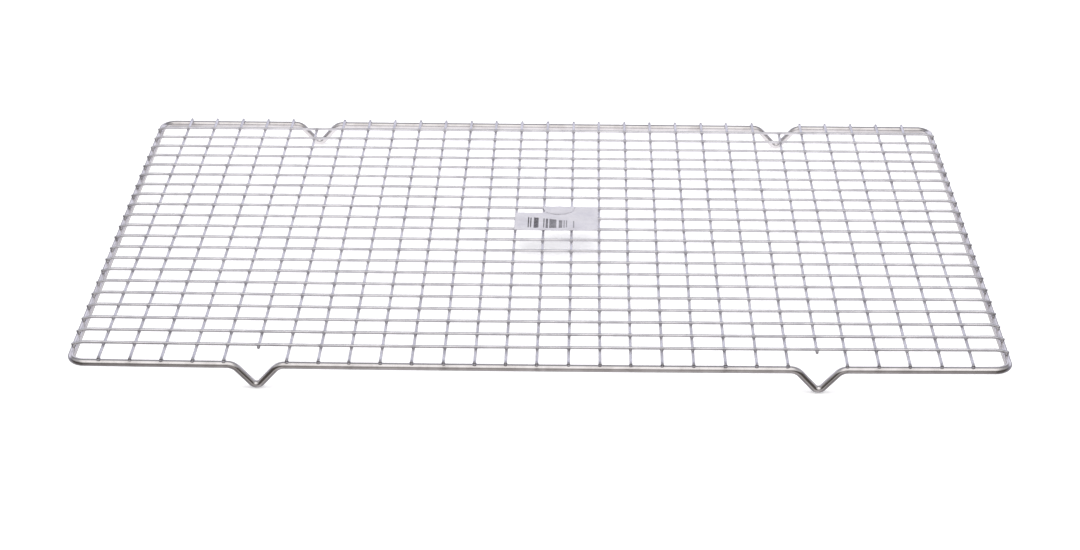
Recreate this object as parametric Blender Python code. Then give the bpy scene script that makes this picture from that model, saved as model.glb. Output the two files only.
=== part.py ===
"""Welded wire cooling rack for a bakery, modelled at its real size.

Metres, +Z up.  The origin is on the surface that the rack stands on, under the middle of the rack.
+X runs along the rack's long side and -Y is its front.  The rack is one heavy frame wire, bent to a
rounded rectangle with four V-shaped feet in its long sides, thin cross wires welded on top of the
frame from front to back, thin long wires welded on top of the cross wires from side to side, and a
paper sticker on the wires.
"""

import math

import bpy

# Driving dimensions
WIDTH = 0.606  # outside of the frame wire, side to side
DEPTH = 0.400  # outside of the frame wire, front to back
FRAME_R = 0.0024  # radius of the frame wire
WIRE_R = 0.0010  # radius of the cross wires and long wires
CORNER_R = 0.0095  # centreline radius of the frame's corners
FIT_GAP = 0.0003  # gap left between two pieces that are welded together

# Feet: V bends in the frame's two long sides
FOOT_DROP = 0.014  # from the frame's centreline down to the centreline at a foot's tip
FOOT_SLOPE = math.radians(48)  # how steeply a foot's two sides go down
TIP_R = 0.004  # centreline radius of a foot's tip
SHOULDER_R = 0.009  # centreline radius where a foot leaves the frame
FOOT_PITCHES = 9  # each foot's distance from the middle, in cross wire pitches

# Wire grid
CROSS_COUNT = 29
CROSS_PITCH = 0.020
RIGHT_SHIFT = -0.0021  # the cross wires right of the right-hand foot stand this much off their pitch
CROSS_PAST = 0.0012  # a cross wire's length past the frame's centreline
LONG_COUNT = 21
LONG_PITCH = 0.01782
LONG_SHIFT = -0.0014  # the long wires sit this far in front of the middle
LONG_PAST = 0.0016  # a long wire's length past the frame's centreline
SHORT_END_PAST = 0.0025  # a cross wire at a foot ends this far past the outermost long wires
DIP_START = 0.0065  # a long wire bends down this far inside the frame's centreline, where it is down

# Sticker
STICKER_LEFT = -0.0205
STICKER_RIGHT = 0.0390
STICKER_FRONT = -0.0060
STICKER_BACK = 0.0330
STICKER_NOTCH_RIGHT = 0.0080  # the folded part at the back left ends here
STICKER_NOTCH = (0.0075, 0.0060)  # its slanting end's size, across and deep
STICKER_THICK = 0.0003

# Facets: a wire's section is a regular polygon with one side straight up
FRAME_RESOLUTION = 4
FRAME_SIDES = 4 + 2 * FRAME_RESOLUTION
WIRE_RESOLUTION = 2
WIRE_SIDES = 4 + 2 * WIRE_RESOLUTION
CORNER_STEPS = 6
SHOULDER_STEPS = 4
TIP_STEPS = 5  # odd, so that a foot's tip ends in a level flat

# Heights, from the floor up
FRAME_FLAT = FRAME_R * math.cos(math.pi / FRAME_SIDES)
WIRE_FLAT = WIRE_R * math.cos(math.pi / WIRE_SIDES)
TIP_TURN = FOOT_SLOPE / TIP_STEPS  # half the turn along the level flat at a foot's tip
TIP_RISE = TIP_R * (1 - math.cos(TIP_TURN))
FRAME_Z = FRAME_FLAT * math.cos(TIP_TURN) + FOOT_DROP - TIP_RISE
CROSS_Z = FRAME_Z + FRAME_FLAT + FIT_GAP + WIRE_FLAT
LONG_Z = CROSS_Z + 2 * WIRE_FLAT + FIT_GAP
STICKER_Z = LONG_Z + WIRE_FLAT + FIT_GAP + STICKER_THICK / 2

# Centreline of the frame wire
HALF_X = WIDTH / 2 - FRAME_R
HALF_Y = DEPTH / 2 - FRAME_R
FOOT_X = FOOT_PITCHES * CROSS_PITCH


def clear_scene():
    for ob in list(bpy.data.objects):
        bpy.data.objects.remove(ob, do_unlink=True)


def make_material(name, colour, metallic, roughness):
    material = bpy.data.materials.new(name)
    material.use_nodes = True
    shader = material.node_tree.nodes["Principled BSDF"]
    shader.inputs["Base Color"].default_value = (*colour, 1.0)
    shader.inputs["Metallic"].default_value = metallic
    shader.inputs["Roughness"].default_value = roughness
    material.diffuse_color = (*colour, 1.0)
    return material


def make_wire(name, points, radius, resolution, material, closed=False):
    """A wire along points, with one flat of its section facing straight up."""
    curve = bpy.data.curves.new(name, "CURVE")
    curve.dimensions = "3D"
    curve.twist_mode = "Z_UP"
    curve.bevel_depth = radius
    curve.bevel_resolution = resolution
    curve.use_fill_caps = not closed
    spline = curve.splines.new("POLY")
    spline.points.add(len(points) - 1)
    spline.use_cyclic_u = closed
    spline.use_smooth = True
    for point, place in zip(spline.points, points):
        point.co = (*place, 1.0)
        point.tilt = math.pi / (4 + 2 * resolution)
    curve.materials.append(material)
    wire = bpy.data.objects.new(name, curve)
    rack.objects.link(wire)
    return wire


def foot_profile():
    """The V of one foot, as (across, down) steps from the frame's centreline, left to right."""
    sine, cosine = math.sin(FOOT_SLOPE), math.cos(FOOT_SLOPE)
    straight_drop = FOOT_DROP - (TIP_R + SHOULDER_R) * (1 - cosine)
    reach = (TIP_R + SHOULDER_R) * sine + straight_drop / math.tan(FOOT_SLOPE)
    shoulder = []
    for i in range(SHOULDER_STEPS + 1):
        turn = FOOT_SLOPE * i / SHOULDER_STEPS
        across = -reach + SHOULDER_R * math.sin(turn)
        shoulder.append((across, -SHOULDER_R * (1 - math.cos(turn))))
    tip = []
    for i in range(TIP_STEPS + 1):
        turn = FOOT_SLOPE * (2 * i / TIP_STEPS - 1)
        tip.append((TIP_R * math.sin(turn), TIP_R * (1 - math.cos(turn)) - FOOT_DROP))
    far_shoulder = [(-across, down) for across, down in reversed(shoulder)]
    return shoulder + tip + far_shoulder


def long_side(side):
    """One long side with its two feet: side is -1 for the front, run left to right, +1 for the back."""
    points = []
    for foot in (-FOOT_X, FOOT_X):
        for across, down in foot_profile():
            points.append((-side * (foot + across), side * HALF_Y, FRAME_Z + down))
    return points


def corner(side_x, side_y, start):
    """A corner's arc, anticlockwise from above, starting at the angle start."""
    centre_x = side_x * (HALF_X - CORNER_R)
    centre_y = side_y * (HALF_Y - CORNER_R)
    points = []
    for i in range(CORNER_STEPS + 1):
        angle = start + math.pi / 2 * i / CORNER_STEPS
        x = centre_x + CORNER_R * math.cos(angle)
        y = centre_y + CORNER_R * math.sin(angle)
        points.append((x, y, FRAME_Z))
    return points


def make_frame(material):
    points = long_side(-1) + corner(1, -1, -math.pi / 2) + corner(1, 1, 0)
    points += long_side(1) + corner(-1, 1, math.pi / 2) + corner(-1, -1, math.pi)
    make_wire("frame_wire", points, FRAME_R, FRAME_RESOLUTION, material, closed=True)


def long_wire_y(index):
    return LONG_SHIFT + (index - (LONG_COUNT - 1) / 2) * LONG_PITCH


def cross_wire_x(pitches):
    """How far right of the middle the cross wire stands that is so many pitches from it."""
    shift = RIGHT_SHIFT if pitches > FOOT_PITCHES else 0.0
    return pitches * CROSS_PITCH + shift


def make_cross_wires(material):
    """Front to back on top of the frame.  The two at the feet stop at the outermost long wires."""
    for index in range(CROSS_COUNT):
        pitches = index - (CROSS_COUNT - 1) // 2
        x = cross_wire_x(pitches)
        front, back = -HALF_Y - CROSS_PAST, HALF_Y + CROSS_PAST
        if abs(pitches) == FOOT_PITCHES:
            front = long_wire_y(0) - SHORT_END_PAST
            back = long_wire_y(LONG_COUNT - 1) + SHORT_END_PAST
        points = [(x, front, CROSS_Z), (x, back, CROSS_Z)]
        make_wire(f"cross_wire_{index + 1:02d}", points, WIRE_R, WIRE_RESOLUTION, material)


def make_long_wires(material):
    """Side to side on top of the cross wires, with both ends bent down onto the frame."""
    half = [(HALF_X - DIP_START, LONG_Z), (HALF_X, CROSS_Z), (HALF_X + LONG_PAST, CROSS_Z)]
    for index in range(LONG_COUNT):
        y = long_wire_y(index)
        left = [(-x, y, z) for x, z in reversed(half)]
        right = [(x, y, z) for x, z in half]
        make_wire(f"long_wire_{index + 1:02d}", left + right, WIRE_R, WIRE_RESOLUTION, material)


def make_sticker(material):
    """A thin flat sheet on the wires, with one corner folded away."""
    across, deep = STICKER_NOTCH
    outline = [
        (STICKER_LEFT, STICKER_FRONT),
        (STICKER_RIGHT, STICKER_FRONT),
        (STICKER_RIGHT, STICKER_BACK),
        (STICKER_NOTCH_RIGHT, STICKER_BACK),
        (STICKER_NOTCH_RIGHT - across, STICKER_BACK - deep),
        (STICKER_LEFT, STICKER_BACK - deep),
    ]
    curve = bpy.data.curves.new("barcode_sticker", "CURVE")
    curve.dimensions = "2D"
    curve.fill_mode = "BOTH"
    curve.extrude = STICKER_THICK / 2
    spline = curve.splines.new("POLY")
    spline.points.add(len(outline) - 1)
    spline.use_cyclic_u = True
    for point, (x, y) in zip(spline.points, outline):
        point.co = (x, y, 0.0, 1.0)
    curve.materials.append(material)
    sticker = bpy.data.objects.new("barcode_sticker", curve)
    sticker.location.z = STICKER_Z
    rack.objects.link(sticker)


clear_scene()
rack = bpy.data.collections.new("cooling_rack")
bpy.context.scene.collection.children.link(rack)
frame_plating = make_material("frame_plating", (0.62, 0.60, 0.59), 1.0, 0.16)
wire_plating = make_material("wire_plating", (0.66, 0.66, 0.70), 1.0, 0.18)
sticker_paper = make_material("sticker_paper", (0.80, 0.79, 0.83), 0.0, 0.55)
make_frame(frame_plating)
make_cross_wires(wire_plating)
make_long_wires(wire_plating)
make_sticker(sticker_paper)
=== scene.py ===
"""Looks of the welded wire cooling rack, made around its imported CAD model.

Metres, +Z up, in the CAD model's own frame: the origin is on the worktop under the middle of the rack,
+X runs along its long side and -Y is its front.  Each CAD wire is replaced by a finely drawn one on the
same centreline, and weld nuggets join the wires where they touch.  The sticker becomes a crumpled
label with a made-up pattern of bars.
"""

import math
import random

import bpy
import bmesh
from mathutils import Matrix, Vector, noise


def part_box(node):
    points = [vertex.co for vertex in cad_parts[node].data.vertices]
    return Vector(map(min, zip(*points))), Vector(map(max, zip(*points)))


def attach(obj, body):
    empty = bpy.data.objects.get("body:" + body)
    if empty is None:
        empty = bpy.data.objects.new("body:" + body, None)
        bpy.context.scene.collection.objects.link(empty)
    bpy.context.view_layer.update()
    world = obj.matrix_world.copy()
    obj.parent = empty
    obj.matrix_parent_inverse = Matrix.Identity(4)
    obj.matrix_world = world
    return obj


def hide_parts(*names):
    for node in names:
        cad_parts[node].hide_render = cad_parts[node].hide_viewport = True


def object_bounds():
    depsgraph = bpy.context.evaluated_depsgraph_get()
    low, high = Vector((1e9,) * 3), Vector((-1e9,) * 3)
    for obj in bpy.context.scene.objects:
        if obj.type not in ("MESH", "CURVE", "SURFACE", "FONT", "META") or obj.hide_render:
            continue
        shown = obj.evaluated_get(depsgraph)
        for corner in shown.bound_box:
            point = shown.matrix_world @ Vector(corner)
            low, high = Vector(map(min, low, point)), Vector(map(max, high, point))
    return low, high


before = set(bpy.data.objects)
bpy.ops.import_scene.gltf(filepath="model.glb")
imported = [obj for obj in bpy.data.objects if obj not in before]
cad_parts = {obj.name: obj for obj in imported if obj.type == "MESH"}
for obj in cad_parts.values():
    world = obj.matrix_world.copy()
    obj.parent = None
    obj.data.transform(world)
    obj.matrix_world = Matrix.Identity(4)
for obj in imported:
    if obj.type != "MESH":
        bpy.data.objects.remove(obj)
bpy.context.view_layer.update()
SEED = 7

# Wires, as in the CAD model
FRAME_R = 0.0024
WIRE_R = 0.0010
FRAME_CAD_SIDES = 12
WIRE_CAD_SIDES = 8
FRAME_FLAT = FRAME_R * math.cos(math.pi / FRAME_CAD_SIDES)  # half the height of the CAD frame wire
WIRE_FLAT = WIRE_R * math.cos(math.pi / WIRE_CAD_SIDES)  # and of a thin wire
CORNER_R = 0.0095
FOOT_DROP = 0.014
FOOT_SLOPE = math.radians(48)
TIP_R = 0.004
SHOULDER_R = 0.009
DIP_START = 0.0065  # a long wire starts down this far inside the frame's centreline
DIP_END = 0.0025  # and would be fully down this far outside it, past its own end
CROSS_SINK = 0.0002  # welding presses the cross wires this far down, towards the frame wire
LONG_SINK = 0.0005  # and the long wires down with them and into them
CROSS_NAMES = [f"cross_wire_{i:02d}" for i in range(1, 30)]
LONG_NAMES = [f"long_wire_{i:02d}" for i in range(1, 22)]
FOOT_NAMES = ("cross_wire_06", "cross_wire_24")  # these two stand over the feet

# Fineness of the drawn wires
FRAME_SIDES = 32
WIRE_SIDES = 16
ARC_STEPS = 14
RUN_STEP = 0.006  # length of one segment along a straight run of the frame
STEPS_PER_CELL = 8  # segments of a thin wire from one crossing to the next
CHAMFER = 0.00022  # rounded-over edge of a cut wire end
FOOT_TRIM = 0.0010  # the cross wires over the feet are drawn this much shorter at each end

# Handmade unevenness
WANDER = 0.00028  # how far a thin wire strays sideways from its straight line
LIFT = 0.00010  # and up or down
STRAY_WAVES = ((0.6, 0.45, 0.80), (0.3, 0.16, 0.30), (0.1, 0.05, 0.09))  # share, shortest, longest
SAG = 0.0012  # bow of the whole rack between its feet
LEAN = 0.0015  # both side runs of the frame are this far right at the front and left at the back
LEAN_POWER = 5  # a higher one keeps the lean nearer to the side runs
WELD_REACH = 0.0034  # the weld mark and its painted contact shade fade out this far from a weld
FRAME_MARK_AND_SHADE = 0.6  # strongest weld mark and painted contact shade on the frame wire, where a cross wire's is 1
LONG_MARK_AND_SHADE = 0.7  # and on a long wire

# Nuggets: half sizes across x, y and z
NUGGET_TURN = 0.3  # most that one is turned about z, in radians
NUGGET_SPREAD = 0.10  # most that its size is off, as a share
NUGGET_LUMPS = 0.14
GRID_NUGGET = (0.00122, 0.00120, 0.00078)
FRONT_NUGGET = (0.00145, 0.00185, 0.00070)
SIDE_NUGGET = (0.00150, 0.00125, 0.00065)

# Printed bars on the sticker
BARS_LEFT = -0.0120
BARS_RIGHT = 0.0245
BARS_FRONT = -0.0025
BARS_TALL = 0.0175  # height of the leftmost bar
BARS_SHORT = 0.0125  # height of the rightmost bar
BAR_MODULE = 0.00085
SHEET_THICK = 0.00014
NOTCH_ACROSS = 0.0235  # the label's back edge is nearer for this much of its left side
NOTCH_DEEP = 0.0095
NOTCH_SLANT = 0.0013
SCALLOP = 0.0006  # its front edge dips between the cross wires
FLAP_X = 0.0110  # middle of the curled flap
FLAP_HALF = 0.0115
FLAP_DEEP = 0.0120
FLAP_CURL = 0.0011
PAPER_GAP = 0.0001  # the label lies this much over the long wires
PAPER_SAG = 0.0006  # and hangs down this much between them
CREASE = 0.0008  # height of its large creases
WRINKLE = 0.0003  # and of its small ones

# Plating: bright, dull and burnt colours, the burnt one partly a weld mark and partly painted contact
# shade at the crossings, then the roughness of bright and of dull patches
FRAME_PLATING = ((0.88, 0.855, 0.85), (0.72, 0.69, 0.68), (0.44, 0.41, 0.40), 0.11, 0.20)
WIRE_PLATING = ((0.90, 0.89, 0.92), (0.75, 0.74, 0.78), (0.44, 0.43, 0.46), 0.20, 0.32)

# Light
FLOOR_GLOW = 0.42  # light of the worktop's own, which keeps shadows on it faint
CARD_GLOW = 0.74  # brightness of the reflection card under the front half of the rack
CARD_GLOW_BACK = 1.05  # and under its back
CARD_FRONT = (-0.235, -0.120)  # the card's light fades in between these, going back
CARD_SIDE = (0.42, 0.20)  # and between these, going in from each side
LAMP_AT = (0.0, -0.2, 2.2)
LAMP_SIZE = (2.4, 2.0)
LAMP_WATTS = 30.0

# Camera
CAMERA_AT = (0.0292, -1.5296, 0.7432)
CAMERA_YAW = math.radians(-0.235)
CAMERA_PITCH = math.radians(26.389)
CAMERA_ROLL = math.radians(0.414)
CAMERA_LENS = 79.15
CAMERA_SHIFT = -0.0324


def middle(node):
    """The middle of a CAD node's box."""
    low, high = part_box(node)
    return (low + high) / 2


frame_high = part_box("frame_wire")[1]
HALF_X = frame_high.x - FRAME_FLAT
HALF_Y = frame_high.y - FRAME_FLAT
FRAME_Z = frame_high.z - FRAME_FLAT
CROSS_Z = middle(CROSS_NAMES[0]).z - CROSS_SINK
LONG_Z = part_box(LONG_NAMES[0])[1].z - WIRE_FLAT - LONG_SINK
FOOT_X = middle(FOOT_NAMES[1]).x
CROSS_X = [middle(name).x for name in CROSS_NAMES]
LONG_Y = [middle(name).y for name in LONG_NAMES]
CROSS_PITCH = CROSS_X[1] - CROSS_X[0]
LONG_PITCH = LONG_Y[1] - LONG_Y[0]


def bow(x, y):
    """How far the rack is bowed up at a place: down between the feet and up outside them, most at the
    front and not at all at the back."""
    across = (x / HALF_X) ** 2 - (FOOT_X / HALF_X) ** 2
    return SAG * across * (0.5 - 0.5 * y / HALF_Y)


def lean(y):
    """How far right of its straight line each side run of the frame is at y."""
    return -LEAN * y / HALF_Y


# ---------------------------------------------------------------- material nodes


class Graph:
    """Adds nodes to one node tree.  Every method but set() returns the new node's output."""

    def __init__(self, tree):
        self.tree = tree

    def add(self, kind, output=0, inputs=(), **settings):
        node = self.tree.nodes.new(kind)
        for key, value in settings.items():
            setattr(node, key, value)
        for key, value in dict(inputs).items():
            self.set(node.inputs[key], value)
        return node.outputs[output]

    def set(self, socket, value):
        if isinstance(value, bpy.types.NodeSocket):
            self.tree.links.new(value, socket)
        else:
            socket.default_value = value

    def math(self, operation, a, b=0.0):
        return self.add("ShaderNodeMath", inputs={0: a, 1: b}, operation=operation)

    def fade(self, value, start, end, low=0.0, high=1.0):
        """low where value is start, high where it is end, and smooth between."""
        inputs = {"Value": value, "From Min": start, "From Max": end, "To Min": low, "To Max": high}
        return self.add("ShaderNodeMapRange", inputs=inputs, interpolation_type="SMOOTHSTEP")

    def noise(self, vector, scale, detail=3.0, roughness=0.55):
        inputs = {"Vector": vector, "Scale": scale, "Detail": detail, "Roughness": roughness}
        return self.add("ShaderNodeTexNoise", inputs=inputs)

    def stretch(self, vector, scale):
        return self.add("ShaderNodeMapping", inputs={"Vector": vector, "Scale": scale})

    def mix(self, factor, a, b):
        inputs = {"Factor": factor, 6: a, 7: b}
        return self.add("ShaderNodeMix", output=2, inputs=inputs, data_type="RGBA")

    def split(self, vector):
        node = self.tree.nodes.new("ShaderNodeSeparateXYZ")
        self.set(node.inputs[0], vector)
        return node.outputs

    def bump(self, height, strength, distance, normal=None):
        inputs = {"Height": height, "Strength": strength, "Distance": distance}
        if normal is not None:
            inputs["Normal"] = normal
        return self.add("ShaderNodeBump", inputs=inputs)


def new_material(name):
    material = bpy.data.materials.new(name)
    material.use_nodes = True
    return material, Graph(material.node_tree), material.node_tree.nodes["Principled BSDF"]


def rgb(red, green, blue):
    return (red, green, blue, 1.0)


def plated_steel(name, bright, dull, burnt_and_shaded, smooth, rough):
    """Bright plating over drawn wire: fine lines along the wire, cloudy dull patches, small dark
    pits, and a duller, darker collar at each weld, partly a weld and plating mark and partly painted
    contact shade where the wires cross."""
    material, graph, shader = new_material(name)
    place = graph.add("ShaderNodeTexCoord", output=3)
    drawn = graph.add("ShaderNodeUVMap", uv_map="wire")
    lines = graph.noise(graph.stretch(drawn, (55.0, 5200.0, 1.0)), 1.0, detail=3.0)
    clouds = graph.fade(graph.noise(place, 95.0, detail=4.0), 0.36, 0.68)
    ripple = graph.noise(place, 620.0, detail=2.0)
    pits = graph.fade(graph.noise(place, 2300.0, detail=1.0), 0.72, 0.80)
    weld = graph.add("ShaderNodeAttribute", output=2, attribute_name="weld")
    ragged = graph.math("MULTIPLY", weld, graph.fade(ripple, 0.25, 0.70, 0.55, 1.25))
    collar = graph.fade(ragged, 0.10, 0.95)
    colour = graph.mix(graph.math("MULTIPLY", clouds, 0.75), rgb(*bright), rgb(*dull))
    # painted contact shade: each weld's collar is darkened towards the burnt colour, partly a weld and
    # plating mark, partly shade painted where the wires cross
    colour = graph.mix(graph.math("MULTIPLY", collar, 0.55), colour, rgb(*burnt_and_shaded))
    colour = graph.mix(graph.math("MULTIPLY", pits, 0.65), colour, rgb(0.10, 0.085, 0.075))
    graph.set(shader.inputs["Base Color"], colour)
    shader.inputs["Metallic"].default_value = 1.0
    gloss = graph.fade(clouds, 0.0, 1.0, smooth, rough)
    gloss = graph.math("ADD", gloss, graph.fade(lines, 0.35, 0.75, -0.02, 0.06))
    gloss = graph.math("ADD", gloss, graph.math("MULTIPLY", collar, 0.16))
    graph.set(shader.inputs["Roughness"], gloss)
    surface = graph.bump(lines, 0.10, 0.00002)
    surface = graph.bump(ripple, 0.12, 0.00002, surface)
    surface = graph.bump(pits, -0.5, 0.00005, surface)
    graph.set(shader.inputs["Normal"], surface)
    return material


def label_paper():
    """Thin coated paper, creased, with a made-up pattern of printed bars that fades to the right."""
    material, graph, shader = new_material("label_paper")
    sheet = graph.add("ShaderNodeUVMap", uv_map="sheet")
    across, deep, _ = graph.split(sheet)
    module = graph.math("FLOOR", graph.math("DIVIDE", across, BAR_MODULE))
    chance = graph.add("ShaderNodeTexWhiteNoise", inputs={"W": module}, noise_dimensions="1D")
    bars = graph.math("GREATER_THAN", chance, 0.47)
    inside = graph.math("GREATER_THAN", across, BARS_LEFT)
    inside = graph.math("MULTIPLY", inside, graph.math("LESS_THAN", across, BARS_RIGHT))
    inside = graph.math("MULTIPLY", inside, graph.math("GREATER_THAN", deep, BARS_FRONT))
    top = graph.fade(across, BARS_LEFT, BARS_RIGHT, BARS_FRONT + BARS_TALL, BARS_FRONT + BARS_SHORT)
    inside = graph.math("MULTIPLY", inside, graph.math("LESS_THAN", deep, top))
    bars = graph.math("MULTIPLY", bars, inside)
    worn = graph.fade(graph.noise(sheet, 900.0, detail=4.0), 0.30, 0.60, 0.72, 1.0)
    faded = graph.fade(across, BARS_LEFT, BARS_RIGHT, 0.98, 0.62)
    ink = graph.math("MULTIPLY", graph.math("MULTIPLY", bars, worn), faded)
    fibres = graph.noise(graph.stretch(sheet, (1400.0, 700.0, 1.0)), 1.0, detail=5.0)
    stain = graph.fade(graph.noise(sheet, 70.0, detail=3.0), 0.35, 0.70)
    paper = graph.mix(stain, rgb(0.76, 0.75, 0.80), rgb(0.66, 0.65, 0.71))
    paper = graph.mix(graph.fade(fibres, 0.30, 0.75, 0.0, 0.30), paper, rgb(0.58, 0.57, 0.63))
    colour = graph.mix(ink, paper, rgb(0.030, 0.027, 0.034))
    graph.set(shader.inputs["Base Color"], colour)
    graph.set(shader.inputs["Roughness"], graph.fade(fibres, 0.3, 0.7, 0.34, 0.52))
    creases = graph.noise(sheet, 210.0, detail=4.0, roughness=0.6)
    surface = graph.bump(creases, 0.55, 0.0006)
    surface = graph.bump(fibres, 0.25, 0.00004, surface)
    graph.set(shader.inputs["Normal"], surface)
    return material


def worktop():
    """A plain pale matt surface with a little light of its own."""
    material, graph, shader = new_material("pale_worktop")
    place = graph.add("ShaderNodeTexCoord", output=3)
    grain = graph.noise(place, 140.0, detail=4.0)
    graph.set(shader.inputs["Base Color"], graph.mix(grain, rgb(0.90, 0.90, 0.90), rgb(0.93, 0.93, 0.93)))
    graph.set(shader.inputs["Roughness"], graph.fade(grain, 0.3, 0.7, 0.75, 0.85))
    shader.inputs["Specular IOR Level"].default_value = 0.1
    shader.inputs["Emission Color"].default_value = rgb(1.0, 1.0, 1.0)
    shader.inputs["Emission Strength"].default_value = FLOOR_GLOW
    return material


# ---------------------------------------------------------------- wires


def sweep(name, path, radius, sides, material, closed=False, weld_mark_and_shade=None):
    """A round wire along path.  An open one has cut ends with rounded-over edges.  The last argument
    gives, for a place, how much of a weld's mark and of painted contact shade it carries, from 0 to 1."""
    count = len(path)
    radii = [radius] * count
    if not closed:
        first, last = path[0], path[-1]
        path = [first] + [first.lerp(path[1], CHAMFER / (path[1] - first).length)] + path[1:]
        path = path[:-1] + [last.lerp(path[-2], CHAMFER / (path[-2] - last).length), last]
        radii = [radius - CHAMFER] + [radius] * count + [radius - CHAMFER]
        count += 2
    verts, faces, along, mark_and_shade_values = [], [], [0.0], []
    for i in range(count):
        before = path[i - 1] if closed or i > 0 else path[i]
        after = path[(i + 1) % count] if closed or i < count - 1 else path[i]
        tangent = (after - before).normalized()
        side = tangent.cross(Vector((0, 0, 1))).normalized()
        up = side.cross(tangent)
        for k in range(sides):
            turn = 2 * math.pi * k / sides - math.pi / 2
            verts.append(path[i] + radii[i] * (math.cos(turn) * side + math.sin(turn) * up))
        # how much weld mark and painted contact shade each ring carries
        mark_and_shade_values.extend([weld_mark_and_shade(path[i]) if weld_mark_and_shade else 0.0] * sides)
        along.append(along[-1] + (path[(i + 1) % count] - path[i]).length)
    uvs = []
    for i in range(count if closed else count - 1):
        here, there = i * sides, (i + 1) % count * sides
        for k in range(sides):
            next_k = (k + 1) % sides
            faces.append((here + k, there + k, there + next_k, here + next_k))
            low, high = k * 2 * math.pi * radius / sides, (k + 1) * 2 * math.pi * radius / sides
            uvs += [(along[i], low), (along[i + 1], low), (along[i + 1], high), (along[i], high)]
    if not closed:
        faces.append(tuple(range(sides)))
        faces.append(tuple(reversed(range((count - 1) * sides, count * sides))))
        uvs += [(0.0, 0.0)] * (2 * sides)
    mesh = bpy.data.meshes.new(name)
    mesh.from_pydata(verts, [], faces)
    layer = mesh.uv_layers.new(name="wire")
    layer.data.foreach_set("uv", [number for uv in uvs for number in uv])
    weld = mesh.attributes.new("weld", "FLOAT", "POINT")
    weld.data.foreach_set("value", mark_and_shade_values)
    mesh.materials.append(material)
    mesh.shade_smooth()
    mesh.set_sharp_from_angle(angle=math.radians(50))
    return place_piece(name, mesh)


def place_piece(name, mesh):
    piece = bpy.data.objects.new(name, mesh)
    bpy.context.scene.collection.objects.link(piece)
    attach(piece, "root")
    return piece


def foot_profile():
    """The V of one foot, as (across, down) steps from the frame's centreline, left to right."""
    sine, cosine = math.sin(FOOT_SLOPE), math.cos(FOOT_SLOPE)
    straight_drop = FOOT_DROP - (TIP_R + SHOULDER_R) * (1 - cosine)
    reach = (TIP_R + SHOULDER_R) * sine + straight_drop / math.tan(FOOT_SLOPE)
    shoulder, tip = [], []
    for i in range(ARC_STEPS + 1):
        turn = FOOT_SLOPE * i / ARC_STEPS
        shoulder.append((-reach + SHOULDER_R * math.sin(turn), -SHOULDER_R * (1 - math.cos(turn))))
        turn = FOOT_SLOPE * (2 * i / ARC_STEPS - 1)
        tip.append((TIP_R * math.sin(turn), TIP_R * (1 - math.cos(turn)) - FOOT_DROP))
    far_shoulder = [(-across, down) for across, down in reversed(shoulder)]
    return shoulder + tip + far_shoulder


def long_side(side):
    """One long side with its two feet: side is -1 for the front, run left to right, +1 for the back."""
    points = []
    for foot in (-FOOT_X, FOOT_X):
        for across, down in foot_profile():
            points.append(Vector((-side * (foot + across), side * HALF_Y, FRAME_Z + down)))
    return points


def corner(side_x, side_y, start):
    """A corner's arc, anticlockwise from above, starting at the angle start."""
    centre = Vector((side_x * (HALF_X - CORNER_R), side_y * (HALF_Y - CORNER_R), FRAME_Z))
    points = []
    for i in range(ARC_STEPS + 1):
        angle = start + math.pi / 2 * i / ARC_STEPS
        points.append(centre + CORNER_R * Vector((math.cos(angle), math.sin(angle), 0)))
    return points


def fill_runs(points):
    """The same closed path with its long straight stretches cut into short steps."""
    filled = []
    for here, there in zip(points, points[1:] + points[:1]):
        steps = max(1, round((there - here).length / RUN_STEP))
        filled += [here.lerp(there, i / steps) for i in range(steps)]
    return filled


def frame_mark_and_shade(place):
    """Weld mark, with painted contact shade, on the frame wire under the ends of the thin wires."""
    if abs(abs(place.y) - HALF_Y) < FRAME_R:
        nearest = min(abs(place.x - x) for x in CROSS_X if abs(abs(x) - FOOT_X) > FRAME_R)
    else:
        nearest = min(abs(place.y - y) for y in LONG_Y)
    return FRAME_MARK_AND_SHADE * max(0.0, 1 - nearest / WELD_REACH)


def make_frame(material):
    points = long_side(-1) + corner(1, -1, -math.pi / 2) + corner(1, 1, 0)
    points += long_side(1) + corner(-1, 1, math.pi / 2) + corner(-1, -1, math.pi)
    path = []
    for point in fill_runs(points):
        aside = lean(point.y) * abs(point.x / HALF_X) ** LEAN_POWER
        path.append(point + Vector((aside, 0, bow(point.x, point.y))))
    piece = sweep("frame_wire_plated", path, FRAME_R, FRAME_SIDES, material, closed=True, weld_mark_and_shade=frame_mark_and_shade)
    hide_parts("frame_wire")


class Stray:
    """A slow, seeded wander of one wire to the side and up or down, as hand-fed wire has."""

    def __init__(self, draw):
        self.waves = []
        for share, shortest, longest in STRAY_WAVES:
            turns = 2 * math.pi / draw.uniform(shortest, longest)
            self.waves.append((share, turns, draw.uniform(0, 2 * math.pi), draw.uniform(0, 2 * math.pi)))
        self.aside = draw.uniform(-0.5, 0.5)

    def sideways(self, along):
        return WANDER * (self.aside + sum(a * math.sin(w * along + p) for a, w, p, _ in self.waves))

    def upwards(self, along):
        return LIFT * sum(a * math.sin(w * along + q) for a, w, _, q in self.waves)


def stations(start, end, crossings, pitch):
    """Places along a wire: its two ends, and between them steps that land on every crossing."""
    step = pitch / STEPS_PER_CELL
    first = math.ceil((start - crossings[0]) / step + 0.3)
    last = math.floor((end - crossings[0]) / step - 0.3)
    return [start] + [crossings[0] + step * i for i in range(first, last + 1)] + [end]


def cross_place(index, y):
    """The centreline of cross wire index at y."""
    stray = cross_strays[index]
    x = CROSS_X[index] + stray.sideways(y)
    return Vector((x, y, CROSS_Z + stray.upwards(y) + bow(x, y)))


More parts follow.
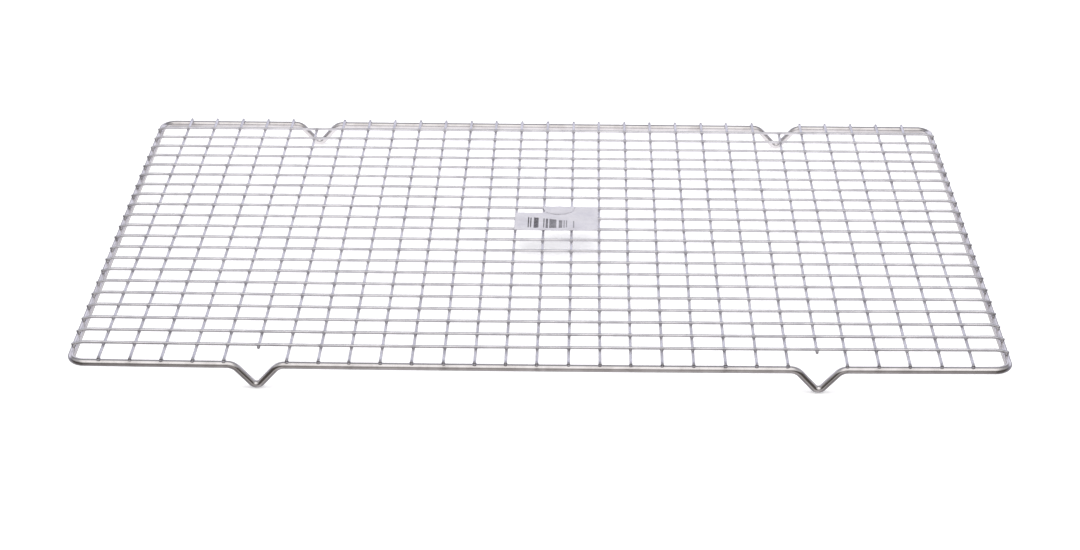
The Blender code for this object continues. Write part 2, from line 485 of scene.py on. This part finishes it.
def long_place(index, x):
    """The centreline of long wire index at x, bent down onto the frame at both ends."""
    stray = long_strays[index]
    y = LONG_Y[index] + stray.sideways(x)
    down = (abs(x - lean(y)) - HALF_X + DIP_START) / (DIP_START + DIP_END)
    down = min(1.0, max(0.0, down))
    down = down * down * (3 - 2 * down)
    return Vector((x, y, LONG_Z + down * (CROSS_Z - LONG_Z) + stray.upwards(x) + bow(x, y)))


def make_cross_wires(material):
    for index, node in enumerate(CROSS_NAMES):
        low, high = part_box(node)
        ends = [-HALF_Y, HALF_Y]

        # weld mark and painted contact shade on this cross wire, near each long wire and at its ends
        def weld_mark_and_shade(place):
            nearest = min(abs(place.y - y) for y in LONG_Y + ends)
            return max(0.0, 1 - nearest / WELD_REACH)

        trim = FOOT_TRIM if node in FOOT_NAMES else 0.0
        steps = stations(low.y + trim, high.y - trim, LONG_Y, LONG_PITCH)
        path = [cross_place(index, y) for y in steps]
        piece = sweep(f"{node}_plated", path, WIRE_R, WIRE_SIDES, material, weld_mark_and_shade=weld_mark_and_shade)
        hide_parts(node)


def make_long_wires(material):
    # weld mark and painted contact shade on a long wire, near each cross wire and at its ends
    def weld_mark_and_shade(place):
        nearest = min(abs(place.x - x) for x in CROSS_X + [-HALF_X, HALF_X])
        return LONG_MARK_AND_SHADE * max(0.0, 1 - nearest / WELD_REACH)

    for index, node in enumerate(LONG_NAMES):
        low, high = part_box(node)
        aside = lean(LONG_Y[index])
        steps = stations(low.x + aside, high.x + aside, CROSS_X, CROSS_PITCH)
        path = [long_place(index, x) for x in steps]
        piece = sweep(f"{node}_plated", path, WIRE_R, WIRE_SIDES, material, weld_mark_and_shade=weld_mark_and_shade)
        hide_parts(node)


# ---------------------------------------------------------------- welds


def make_nuggets(name, nuggets, material):
    """Squashed, slightly lumpy beads of weld metal, as one mesh.  nuggets holds (place, half sizes)."""
    bead = bmesh.new()
    bmesh.ops.create_icosphere(bead, subdivisions=3, radius=1.0)
    ball = [vert.co.copy() for vert in bead.verts]
    triangles = [[vert.index for vert in face.verts] for face in bead.faces]
    bead.free()
    verts, faces = [], []
    for place, half in nuggets:
        first = len(verts)
        turn = Matrix.Rotation(weld_draw.uniform(-NUGGET_TURN, NUGGET_TURN), 3, "Z")
        size = Vector(half) * weld_draw.uniform(1 - NUGGET_SPREAD, 1 + NUGGET_SPREAD)
        shift = Vector([weld_draw.uniform(-40, 40) for _ in range(3)])
        for co in ball:
            lump = 1 + NUGGET_LUMPS * noise.noise(co * 1.6 + shift)
            point = turn @ Vector((co.x * size.x, co.y * size.y, co.z * size.z))
            verts.append(place + lump * point)
        faces += [[first + i for i in triangle] for triangle in triangles]
    mesh = bpy.data.meshes.new(name)
    mesh.from_pydata(verts, [], faces)
    mesh.uv_layers.new(name="wire")
    weld = mesh.attributes.new("weld", "FLOAT", "POINT")
    # every bead carries the full darker weld colour: partly weld metal, partly painted contact shade
    weld.data.foreach_set("value", [1.0] * len(verts))
    mesh.materials.append(material)
    mesh.shade_smooth()
    place_piece(name, mesh)


def make_grid_welds(material):
    """A row of nuggets between each cross wire and the long wires that lie on it."""
    for index, name in enumerate(CROSS_NAMES):
        nuggets = []
        for row, y in enumerate(LONG_Y):
            under = cross_place(index, y)
            over = long_place(row, CROSS_X[index])
            place = Vector((under.x, over.y, (under.z + over.z) / 2))
            nuggets.append((place, GRID_NUGGET))
        make_nuggets(name.replace("cross_wire", "weld_row"), nuggets, material)


def make_frame_welds(material):
    """Nuggets where the ends of the thin wires sit on the frame."""
    top = FRAME_Z + FRAME_R
    for side, name in ((-1, "welds_front_run"), (1, "welds_back_run")):
        nuggets = []
        for index, x in enumerate(CROSS_X):
            if CROSS_NAMES[index] not in FOOT_NAMES:
                place = cross_place(index, side * HALF_Y)
                place.z = top + bow(x, side * HALF_Y)
                nuggets.append((place, FRONT_NUGGET))
        make_nuggets(name, nuggets, material)
    for side, name in ((-1, "welds_left_run"), (1, "welds_right_run")):
        nuggets = []
        for index in range(len(LONG_Y)):
            place = long_place(index, side * HALF_X + lean(LONG_Y[index]))
            place.z = top + bow(place.x, place.y)
            nuggets.append((place, SIDE_NUGGET))
        make_nuggets(name, nuggets, material)


# ---------------------------------------------------------------- sticker


def sheet_height(x, y):
    """Height of the label: on the long wires, lower between them, and creased."""
    nearest = min(abs(y - wire) for wire in LONG_Y)
    sag = -PAPER_SAG * math.sin(min(1.0, 2 * nearest / LONG_PITCH) * math.pi / 2) ** 2
    crease = CREASE * abs(noise.noise(Vector((x * 110, y * 150, 1.7))))
    crease += WRINKLE * abs(noise.noise(Vector((x * 400, y * 360, 5.1))))
    return LONG_Z + WIRE_R + PAPER_GAP + sag + crease


def make_sheet(name, columns, rows, surface, material):
    """A paper sheet from surface, which gives for each (across, deep) a place and its printed place."""
    builder = bmesh.new()
    layer = builder.loops.layers.uv.new("sheet")
    grid, printed = [], {}
    for r in range(rows + 1):
        line = []
        for c in range(columns + 1):
            place, print_place = surface(c / columns, r / rows)
            line.append(builder.verts.new(place))
            printed[line[-1]] = print_place
        grid.append(line)
    for r in range(rows):
        for c in range(columns):
            face = builder.faces.new((grid[r][c], grid[r][c + 1], grid[r + 1][c + 1], grid[r + 1][c]))
            for loop in face.loops:
                loop[layer].uv = printed[loop.vert]
    mesh = bpy.data.meshes.new(name)
    builder.to_mesh(mesh)
    builder.free()
    mesh.materials.append(material)
    mesh.shade_smooth()
    piece = place_piece(name, mesh)
    skin = piece.modifiers.new("paper", "SOLIDIFY")
    skin.thickness = SHEET_THICK
    skin.offset = 1.0
    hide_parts("barcode_sticker")


def make_sticker(material):
    """The label, lower at its back left, and the flap of its back edge that has curled forward."""
    low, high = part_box("barcode_sticker")

    def label(across, deep):
        x = low.x + across * (high.x - low.x)
        lower = NOTCH_DEEP / (1 + math.exp((x - low.x - NOTCH_ACROSS) / NOTCH_SLANT))
        y = low.y + deep * (high.y - low.y - lower)
        y += SCALLOP * (1 - deep) ** 4 * math.cos(2 * math.pi * x / CROSS_PITCH)
        return Vector((x, y, sheet_height(x, y))), (x, y)

    def flap(across, deep):
        side = 2 * across - 1
        x = FLAP_X + FLAP_HALF * side
        y = high.y - FLAP_DEEP * deep * math.sqrt(max(0.0, 1 - abs(side) ** 2.5)) - 0.0002
        curl = FLAP_CURL * math.sin(math.pi * (0.08 + 0.82 * deep)) * (1 - 0.6 * side ** 2)
        return Vector((x, y, sheet_height(x, y) + 0.0002 + curl)), (x, y + 0.1)

    make_sheet("barcode_sticker_label", 120, 78, label, material)
    make_sheet("barcode_sticker_flap", 48, 24, flap, material)


# ---------------------------------------------------------------- stage


def make_plane(name, half, height, material):
    mesh = bpy.data.meshes.new(name)
    builder = bmesh.new()
    bmesh.ops.create_grid(builder, x_segments=4, y_segments=4, size=half)
    builder.to_mesh(mesh)
    builder.free()
    mesh.materials.append(material)
    plane = bpy.data.objects.new(name, mesh)
    plane.location.z = height
    bpy.context.scene.collection.objects.link(plane)
    return plane


def make_card(height):
    """A pale glowing sheet under the rack that shows only in reflections, so that the wires over it look
    pale.  It fades to clear in front and at the sides."""
    material = bpy.data.materials.new("reflection_card")
    material.use_nodes = True
    graph = Graph(material.node_tree)
    material.node_tree.nodes.clear()
    x, y, _ = graph.split(graph.add("ShaderNodeTexCoord", output=3))
    glow = graph.fade(graph.math("ABSOLUTE", x), *CARD_SIDE)
    glow = graph.math("MULTIPLY", glow, graph.fade(y, *CARD_FRONT))
    strength = graph.fade(y, 0.0, 0.22, CARD_GLOW, CARD_GLOW_BACK)
    light = graph.add("ShaderNodeEmission", inputs={"Color": rgb(0.98, 0.96, 1.0), "Strength": strength})
    clear = graph.add("ShaderNodeBsdfTransparent")
    surface = graph.add("ShaderNodeMixShader", inputs={0: glow, 1: clear, 2: light})
    sink = material.node_tree.nodes.new("ShaderNodeOutputMaterial")
    graph.set(sink.inputs["Surface"], surface)
    card = make_plane("reflection_card", 3.0, height - 0.001, material)
    card.visible_camera = False
    card.visible_diffuse = False
    card.visible_shadow = False
    card.visible_transmission = False


def make_lamp():
    """A large soft lamp overhead, aimed at the rack's middle and left out of reflections."""
    lamp = bpy.data.lights.new("overhead", "AREA")
    lamp.shape = "RECTANGLE"
    lamp.size, lamp.size_y = LAMP_SIZE
    lamp.energy = LAMP_WATTS
    lamp.color = (1.0, 0.99, 0.98)
    light = bpy.data.objects.new("overhead", lamp)
    light.location = LAMP_AT
    light.rotation_euler = (Vector((0, 0, 0)) - Vector(LAMP_AT)).to_track_quat("-Z", "Y").to_euler()
    light.visible_glossy = False
    bpy.context.scene.collection.objects.link(light)


def make_world():
    """A soft studio: a bright window high in front, a pale cool wall low behind, and darker to the
    front's left and right.  All of it is only in reflections and light: the camera sees white."""
    world = bpy.data.worlds.new("studio")
    world.use_nodes = True
    bpy.context.scene.world = world
    graph = Graph(world.node_tree)
    x, y, z = graph.split(graph.add("ShaderNodeTexCoord", output=0))
    behind = graph.fade(y, -0.45, 0.45)
    aside = graph.fade(graph.math("ABSOLUTE", x), 0.05, 0.30)
    room = graph.mix(aside, rgb(0.34, 0.32, 0.32), rgb(0.075, 0.066, 0.062))
    room = graph.mix(behind, room, rgb(0.27, 0.27, 0.33))
    below = graph.mix(aside, rgb(0.42, 0.40, 0.40), rgb(0.11, 0.10, 0.095))
    below = graph.mix(behind, below, rgb(0.32, 0.32, 0.36))
    sky = graph.mix(graph.fade(z, -0.10, -0.45), room, below)
    sky = graph.mix(graph.fade(z, 0.30, 0.60), sky, rgb(0.27, 0.27, 0.29))
    wall = graph.math("MULTIPLY", graph.fade(z, 0.02, 0.14), graph.fade(z, 0.62, 0.40))
    wall = graph.math("MULTIPLY", wall, graph.fade(y, 0.2, 0.6))
    sky = graph.mix(wall, sky, rgb(0.80, 0.80, 0.92))
    window = graph.math("MULTIPLY", graph.fade(z, 0.18, 0.52), graph.fade(y, 0.30, -0.10))
    window = graph.math("MULTIPLY", window, graph.fade(graph.math("ABSOLUTE", x), 0.62, 0.18, 0.25, 1.0))
    sky = graph.mix(window, sky, rgb(1.05, 1.03, 1.03))
    seen = graph.add("ShaderNodeLightPath", output=0)
    sky = graph.mix(seen, sky, rgb(1.0, 1.0, 1.0))
    background = world.node_tree.nodes["Background"]
    graph.set(background.inputs["Color"], sky)
    background.inputs["Strength"].default_value = 1.0


def make_camera():
    """A level camera turned left by yaw, tipped down by pitch and then rolled."""
    ahead = Vector(
        (
            math.sin(CAMERA_YAW) * math.cos(CAMERA_PITCH),
            math.cos(CAMERA_YAW) * math.cos(CAMERA_PITCH),
            -math.sin(CAMERA_PITCH),
        )
    )
    level = Vector((math.cos(CAMERA_YAW), -math.sin(CAMERA_YAW), 0))
    above = level.cross(ahead)
    right = math.cos(CAMERA_ROLL) * level + math.sin(CAMERA_ROLL) * above
    up = math.cos(CAMERA_ROLL) * above - math.sin(CAMERA_ROLL) * level
    data = bpy.data.cameras.new("camera")
    data.lens = CAMERA_LENS
    data.sensor_width = 36.0
    data.shift_x = CAMERA_SHIFT
    data.clip_end = 60.0
    camera = bpy.data.objects.new("camera", data)
    turn = Matrix((right, up, -ahead)).transposed()
    camera.matrix_world = Matrix.Translation(CAMERA_AT) @ turn.to_4x4()
    bpy.context.scene.collection.objects.link(camera)
    bpy.context.scene.camera = camera


# ---------------------------------------------------------------- build

cross_draw = random.Random(SEED)
long_draw = random.Random(SEED + 1)
weld_draw = random.Random(SEED + 2)
cross_strays = [Stray(cross_draw) for _ in CROSS_NAMES]
long_strays = [Stray(long_draw) for _ in LONG_NAMES]

frame_steel = plated_steel("frame_plating_steel", *FRAME_PLATING)
wire_steel = plated_steel("wire_plating_steel", *WIRE_PLATING)
make_frame(frame_steel)
make_cross_wires(wire_steel)
make_long_wires(wire_steel)
make_grid_welds(wire_steel)
make_frame_welds(wire_steel)
make_sticker(label_paper())

floor_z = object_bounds()[0].z
floor = make_plane("worktop", 8.0, floor_z, worktop())
floor.visible_glossy = False
make_card(floor_z)
make_lamp()
make_world()
make_camera()
bpy.context.scene.view_settings.view_transform = "Standard"
